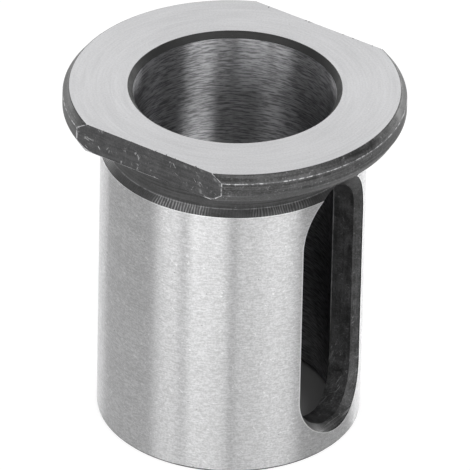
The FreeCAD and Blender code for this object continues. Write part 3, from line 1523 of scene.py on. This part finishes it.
@dataclass
class Studio:
    """The floor, the lamps and the light from all round.

    Args:
        camera_azimuth: The camera's direction, from -Y towards +X, in degrees.
        world_level: How bright the light from all round is, where 1 is white.
        floor_radius: The floor's radius, in metres.
        floor_segments: How many sides it has.
        floor_share: How much of the floor that the camera sees is plain white.
        glossy_share: How much of the floor that the metal mirrors is plain white.
        floor_white: How bright that white is.
        paper: The lightness of the floor's paper.
        painted_shade_radius: How far the painted shade under the sleeve reaches, in metres.
        shade: The lightness of that painted shade.
    """

    camera_azimuth: float
    world_level: float = 0.3
    floor_radius: float = 1.5
    floor_segments: int = 64
    floor_share: float = 0.75
    glossy_share: float = 0.1
    floor_white: float = 1.16
    paper: float = 0.86
    painted_shade_radius: float = 0.0112
    shade: float = 0.38

    def walls(self) -> list[LightWall]:
        """List the lamps.

        Returns:
            The low ones that light the shank, the rear one for the top face, and the high ones
            for the bore.
        """
        return [
            LightWall("lamp_rear_left", -168, -122, 0.0, 0.25, 3.4),
            LightWall("lamp_side_left", -122, -66, 0.0, 0.35, 0.55),
            LightWall("lamp_left", -63, -41, 0.0, 0.35, 3.65),
            LightWall("lamp_front_left", -34.5, -2, 0.0, 0.35, 4.8),
            LightWall("lamp_front_right", 4.5, 24, 0.0, 0.35, 3.0),
            LightWall("lamp_right", 24, 56, 0.0, 0.35, 2.5),
            LightWall("lamp_rear_right", 120, 165, 0.0, 0.25, 5.5),
            LightWall("lamp_rear", 160, 205, 0.2, 1.0, 0.92),
            LightWall("lamp_high_right", 29, 62, 0.7, 1.3, 5.4),
            LightWall("lamp_high_left", -60, -30, 0.7, 1.3, 3.5),
            LightWall("lamp_high_front", -18, 16, 0.7, 1.3, 1.0),
        ]

    def build(self) -> None:
        """Make everything round the sleeve."""
        self.build_world()
        self.build_floor()
        for wall in self.walls():
            wall.build(self.camera_azimuth)
            LOG.info("%s: radiance %.2f", wall.name, wall.radiance)

    def build_world(self) -> None:
        """Light the sleeve evenly from all round, and show white where nothing else is."""
        world = bpy.data.worlds.new("studio_world")
        bpy.context.scene.world = world
        world.use_nodes = True
        tree = world.node_tree
        tree.nodes.clear()
        rays = tree.nodes.new("ShaderNodeLightPath")
        level = tree.nodes.new("ShaderNodeMapRange")
        level.inputs["To Min"].default_value = self.world_level
        level.inputs["To Max"].default_value = 1.0
        tree.links.new(rays.outputs["Is Camera Ray"], level.inputs["Value"])
        background = tree.nodes.new("ShaderNodeBackground")
        background.inputs["Color"].default_value = (1.0, 1.0, 1.0, 1.0)
        tree.links.new(level.outputs["Result"], background.inputs["Strength"])
        output = tree.nodes.new("ShaderNodeOutputWorld")
        tree.links.new(background.outputs[0], output.inputs["Surface"])

    def build_floor(self) -> bpy.types.Object:
        """Lay the white floor, which still takes the sleeve's shadow.

        Returns:
            The floor.
        """
        bm = bmesh.new()
        bmesh.ops.create_circle(bm, cap_ends=True, segments=self.floor_segments,
                                radius=self.floor_radius)
        mesh = bpy.data.meshes.new("studio_floor")
        bm.to_mesh(mesh)
        bm.free()
        mesh.materials.append(self.floor_material())
        floor = bpy.data.objects.new("studio_floor", mesh)
        bpy.context.scene.collection.objects.link(floor)
        return floor

    def floor_material(self) -> bpy.types.Material:
        """Make matt white that shows as plain white, with the shadow faint on it.

        Under the sleeve it is painted grey, without the white glow, as painted shade inside the
        bore.

        Returns:
            The material.
        """
        material = bpy.data.materials.new("white_paper")
        material.use_nodes = True
        tree = material.node_tree
        tree.nodes.clear()
        matt = tree.nodes.new("ShaderNodeBsdfDiffuse")
        glow = tree.nodes.new("ShaderNodeEmission")
        glow.inputs["Color"].default_value = (1.0, 1.0, 1.0, 1.0)
        glow.inputs["Strength"].default_value = self.floor_white
        rays = tree.nodes.new("ShaderNodeLightPath")
        place = tree.nodes.new("ShaderNodeTexCoord")
        radius = tree.nodes.new("ShaderNodeVectorMath")
        radius.operation = "LENGTH"
        tree.links.new(place.outputs["Object"], radius.inputs[0])
        # Inside this radius the floor is painted grey shade and gets no white glow.
        clear = tree.nodes.new("ShaderNodeMath")
        clear.operation = "GREATER_THAN"
        clear.inputs[1].default_value = self.painted_shade_radius
        tree.links.new(radius.outputs["Value"], clear.inputs[0])
        white = tree.nodes.new("ShaderNodeMix")
        white.data_type = "RGBA"
        white.inputs[MIX_FIRST].default_value = (self.shade, self.shade, self.shade, 1.0)
        white.inputs[MIX_SECOND].default_value = (self.paper, self.paper, self.paper, 1.0)
        tree.links.new(clear.outputs[0], white.inputs[MIX_SHARE])
        tree.links.new(white.outputs[MIX_RESULT], matt.inputs["Color"])
        parts: list[bpy.types.NodeSocket] = []
        for ray, part in (("Is Camera Ray", self.floor_share),
                          ("Is Glossy Ray", self.glossy_share)):
            weight = tree.nodes.new("ShaderNodeMapRange")
            weight.inputs["To Max"].default_value = part
            tree.links.new(rays.outputs[ray], weight.inputs["Value"])
            parts.append(weight.outputs["Result"])
        seen = tree.nodes.new("ShaderNodeMath")
        seen.operation = "MAXIMUM"
        tree.links.new(parts[0], seen.inputs[0])
        tree.links.new(parts[1], seen.inputs[1])
        share = tree.nodes.new("ShaderNodeMath")
        share.operation = "MULTIPLY"
        tree.links.new(seen.outputs[0], share.inputs[0])
        tree.links.new(clear.outputs[0], share.inputs[1])
        mix = tree.nodes.new("ShaderNodeMixShader")
        tree.links.new(share.outputs[0], mix.inputs[0])
        tree.links.new(matt.outputs[0], mix.inputs[1])
        tree.links.new(glow.outputs[0], mix.inputs[2])
        output = tree.nodes.new("ShaderNodeOutputMaterial")
        tree.links.new(mix.outputs[0], output.inputs["Surface"])
        return material


def make_finishes(sleeve: Sleeve) -> dict[Region, bpy.types.Material]:
    """Make the material of each of the sleeve's surfaces.

    Args:
        sleeve: The sleeve, whose sizes say where its worn edges are.

    Returns:
        A material for each surface.
    """
    side, end = Lay.ROUND_THE_SIDE, Lay.ROUND_THE_END
    rim, top, underside = sleeve.rim_radius, sleeve.length, sleeve.underside
    rim_top, rim_foot = top - sleeve.rim_upper_rise, underside + sleeve.rim_lower_rise
    shoulder = Ring(sleeve.shank_radius, sleeve.shoulder)
    mouth = Ring(sleeve.mouth_radius, top)
    slot = SlotMouth(sleeve.slot_radius + sleeve.chamfer_reach, sleeve.slot_low,
                     sleeve.slot_high, sleeve.slot_radius + sleeve.bevel, sleeve.shank_radius)
    flat = (sleeve.flat_place, rim, sleeve.rim_chamfer_reach, (underside, rim_foot),
            (rim_top, top))
    flange_wear = (
        EdgeWearAndGlint(Ring(rim, rim_top), 0.075, 0.62, 1.0, 0.16),
        EdgeWearAndGlint(Ring(rim, rim_foot), 0.10, 0.30, 0.40, 0.05),
        EdgeWearAndGlint(Ring(sleeve.face_radius, underside), 0.10, 0.30, 0.35),
    )
    neck_wear = (EdgeWearAndGlint(Ring(sleeve.neck_radius, sleeve.runout), 0.08, 0.7, 0.18, 0.05),)
    flat_wear = (
        EdgeWearAndGlint(FlatOutline(*flat), 0.19, 0.80, 1.0, 0.10),
        EdgeWearAndGlint(FlatRow(underside, until=2.0), 0.10, 0.80, 0.75, 0.15),
    )
    swirl_x, swirl_z = 7.4, top - 1.3
    flat_marring = (
        Scratches(Sheet.FLAT, -58.0, 1.6, 1.1, 0.90, 0.6),
        Scratches(Sheet.FLAT, -20.0, 1.8, 0.9, 0.95, 0.4),
        Scratches(Sheet.FLAT, 75.0, 1.8, 0.8, 0.95, 0.4),
        Swirl(swirl_x, swirl_z, 0.8), Swirl(swirl_x, swirl_z, 1.9),
        Swirl(swirl_x - 0.4, swirl_z + 0.2, 3.0, 0.14),
    )
    slot_marring = (
        Scratches(Sheet.FLAT, 68.0, 2.6, 1.6, 0.45, 0.22, below=(10.5, 7.0)),
        Scratches(Sheet.FLAT, 88.0, 3.0, 2.5, 0.30, 0.10, below=(20.0, 8.0)),
        Scratches(Sheet.FLAT, 30.0, 2.6, 0.8, 0.60, 0.14, below=(9.0, 6.0)),
    )
    slot_corner_wear = (EdgeWearAndGlint(Barrel(sleeve.bore_radius), 0.12, 0.7, 0.45, 0.18,
                             between=(8.0, 12.0)),)
    slot_outline = 0.11
    shank_scratches = (
        Scratches(Sheet.ROUND, -38.0, 2.0, 0.6, 0.92, 0.55),
        Scratches(Sheet.ROUND, -50.0, 1.6, 0.9, 1.00, 0.5),
        Scratches(Sheet.ROUND, 25.0, 2.2, 0.5, 1.00, 0.4),
    )
    return {
        # The bright lines along the slot's edge and the shoulder, the dents' glints and the
        # scratches on the shank are painted highlights.
        Region.SHANK: GroundSteel("ground_shank", side, scratches=shank_scratches,
                                  painted_highlight_edges=(EdgeWearAndGlint(slot, 0.10, 1.0, 0.9, 0.7),
                                                EdgeWearAndGlint(shoulder, 0.08, 1.0, 0.8, 0.5))).make(),
        Region.BORE: GroundSteel("turned_bore", side, colour=(0.36, 0.36, 0.37), contrast=0.45,
                                 marks=(0.9, 8.0), grain_share=0.10, mark_depth=0.003,
                                 pits=0.03).make(),
        # The bright line round the bore's mouth and the dents' glints on the top face are painted
        # highlights.
        Region.TOP_FACE: GroundSteel("ground_top_face", end, colour=(0.60, 0.60, 0.61),
                                     contrast=0.07, roughness=0.38, gloss_spread=0.22,
                                     marks=(0.25, 5.0), grain_share=0.6, mark_depth=0.0003,
                                     cloud=0.02, pits=0.05,
                                     painted_highlight_edges=(EdgeWearAndGlint(mouth, 0.08, 0.9, 0.9, 0.4),),
                                     chipped_at=sleeve.flat_place).make(),
        Region.FOOT_FACE: GroundSteel("ground_foot", end, gloss_spread=0.5,
                                      marks=(0.25, 5.0)).make(),
        Region.FLANGE: BlackOxide("black_flange", rub=0.38, mark_share=0.50, marks=9.0,
                                  colour=(0.009, 0.009, 0.009), pale=(0.085, 0.085, 0.086),
                                  wear=flange_wear).make(),
        Region.FOOT_EDGE: BlackOxide("black_foot_edge", rub=0.3).make(),
        Region.MOUTH: BlackOxide("black_mouth", colour=(0.004, 0.004, 0.004),
                                 pale=(0.012, 0.012, 0.012), roughness=0.55, rub=0.0,
                                 nicks=0.02).make(),
        Region.NECK: BlackOxide("black_neck", colour=(0.010, 0.010, 0.010), marks=6.0,
                                pale=(0.050, 0.050, 0.051), mark_share=0.6, rub=0.05,
                                wear=neck_wear, nicks=0.03,
                                chatter=Chatter(290, sleeve.shoulder, sleeve.runout)).make(),
        Region.FLAT: BlackOxide("black_flat", Lay.ALONG_THE_FLAT, rub=0.12, nicks=0.055,
                                wear=flat_wear, marring=flat_marring).make(),
        Region.SLOT: BlackOxide("black_slot", Lay.ALONG_THE_SLOT, rub=0.30, nicks=0.03,
                                colour=(0.010, 0.010, 0.010), mark_share=0.2,
                                wear=slot_corner_wear, marring=slot_marring,
                                dark_outside=sleeve.shank_radius - slot_outline).make(),
    }


def main() -> None:
    """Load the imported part, dress it and build the studio round it."""
    logging.basicConfig(level=logging.INFO, format="%(name)s: %(message)s")
    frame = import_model()
    lowest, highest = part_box("sleeve")
    mounts = {mount["name"]: mount for mount in frame["record"]["mounts"]}
    sleeve = Sleeve(length=(highest.z - lowest.z) / MM,
                    shank_radius=mounts["shank"]["dims"]["r_mm"],
                    bore_radius=mounts["bore"]["dims"]["r_mm"])
    piece = sleeve.build(make_finishes(sleeve))
    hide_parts("sleeve")
    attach(piece, "root")
    LOG.info("%s: %d faces", piece.name, len(piece.data.polygons))
    camera = StudioCamera()
    camera.build()
    Studio(camera_azimuth=camera.azimuth).build()
    view = bpy.context.scene.view_settings
    view.view_transform = "Standard"


if __name__ == "__main__":
    main()
